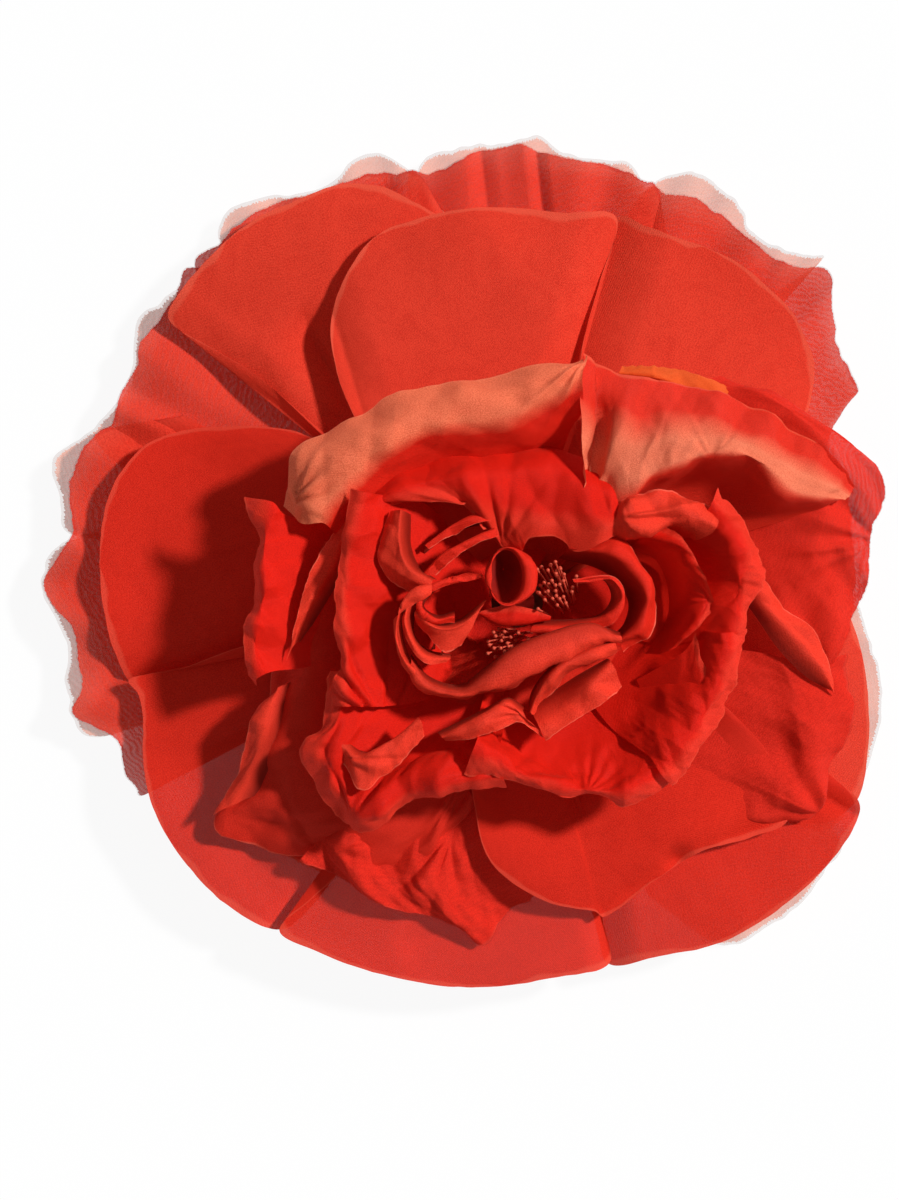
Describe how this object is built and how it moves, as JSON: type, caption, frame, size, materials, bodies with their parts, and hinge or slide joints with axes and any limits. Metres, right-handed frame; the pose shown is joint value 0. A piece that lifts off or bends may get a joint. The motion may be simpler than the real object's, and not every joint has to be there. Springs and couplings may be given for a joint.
{
  "type": "flower hair clip",
  "caption": "Large layered fabric rose in sheer and crisp silk with a ruffled heart, sewn to a sprung beak hair clip",
  "frame": {"origin": "under the middle of the flower's outline, on the surface that the clip's tail and the lowest petals rest on", "axes": "+Z is the way the open flower faces; +X runs along the clip, from the tip of its jaws to its tails; +Y is the top of the flower"},
  "size_m": [0.198, 0.2023, 0.0577],
  "materials": {
    "underlay_organza": "pale sheer organza, single ply, frayed edge",
    "red_organza": "sheer red organza, single ply, wavy edge",
    "red_organza_double": "red organza, two plies, smooth seamed edge",
    "red_silk": "crisp red silk with a soft sheen",
    "coral_silk": "crisp coral-red silk, pale on its folds",
    "stamen": "waxed thread with glossy pips",
    "thread": "waxed sewing thread",
    "buckram": "stiffened open-weave cotton",
    "felt": "wool felt",
    "clip_steel": "satin nickel plate",
    "pin_steel": "bright drawn steel",
    "spring_wire": "oiled spring wire"
  },
  "bodies": {
    "flower_and_fixed_arm": {"underlay_petal_1": "underlay_organza", "underlay_petal_2": "underlay_organza", "underlay_petal_3": "underlay_organza", "underlay_petal_4": "underlay_organza", "underlay_petal_5": "underlay_organza", "underlay_petal_6": "underlay_organza", "underlay_petal_7": "underlay_organza", "wavy_petal_1": "red_organza", "wavy_petal_2": "red_organza", "wavy_petal_3": "red_organza", "wavy_petal_4": "red_organza", "wavy_petal_5": "red_organza", "wavy_petal_6": "red_organza", "round_petal_1": "red_organza_double", "round_petal_2": "red_organza_double", "round_petal_3": "red_organza_double", "round_petal_4": "red_organza_double", "round_petal_5": "red_organza_double", "round_petal_6": "red_organza_double", "round_petal_7": "red_organza_double", "round_petal_8": "red_organza_double", "round_petal_9": "red_organza_double", "round_petal_10": "red_organza_double", "spread_petal_1": "red_silk", "spread_petal_2": "red_silk", "spread_petal_3": "red_silk", "spread_petal_4": "red_silk", "standing_petal_1": "coral_silk", "standing_petal_2": "coral_silk", "standing_petal_3": "coral_silk", "cup_petal_1": "red_silk", "cup_petal_2": "red_silk", "cup_petal_3": "red_silk", "cup_petal_4": "red_silk", "cup_petal_5": "red_silk", "cup_petal_6": "red_silk", "cup_petal_7": "red_silk", "heart_tube": "red_silk", "heart_loop": "red_silk", "heart_band": "red_silk", "heart_fold": "red_silk", "heart_fan": "red_silk", "stamens_back": "stamen", "stamens_front": "stamen", "stamens_side": "stamen", "bound_stem": "thread", "arm_stitches": "thread", "buckram_disc": "buckram", "felt_pad": "felt", "fixed_arm": "clip_steel", "hinge_pin": "pin_steel", "spring_coil": "spring_wire"},
    "moving_arm": {"moving_arm": "clip_steel", "spring_leg": "spring_wire"}
  },
  "joints": [
    {"name": "clip_hinge", "type": "hinge", "parent": "flower_and_fixed_arm", "child": "moving_arm", "pos_m": [0.0205, -0.01, 0.00941], "axis": [0, -1, 0], "range_deg": [0, 24], "stiffness_Nm_per_rad": 0.25, "springref_deg": -45.84}
  ]
}
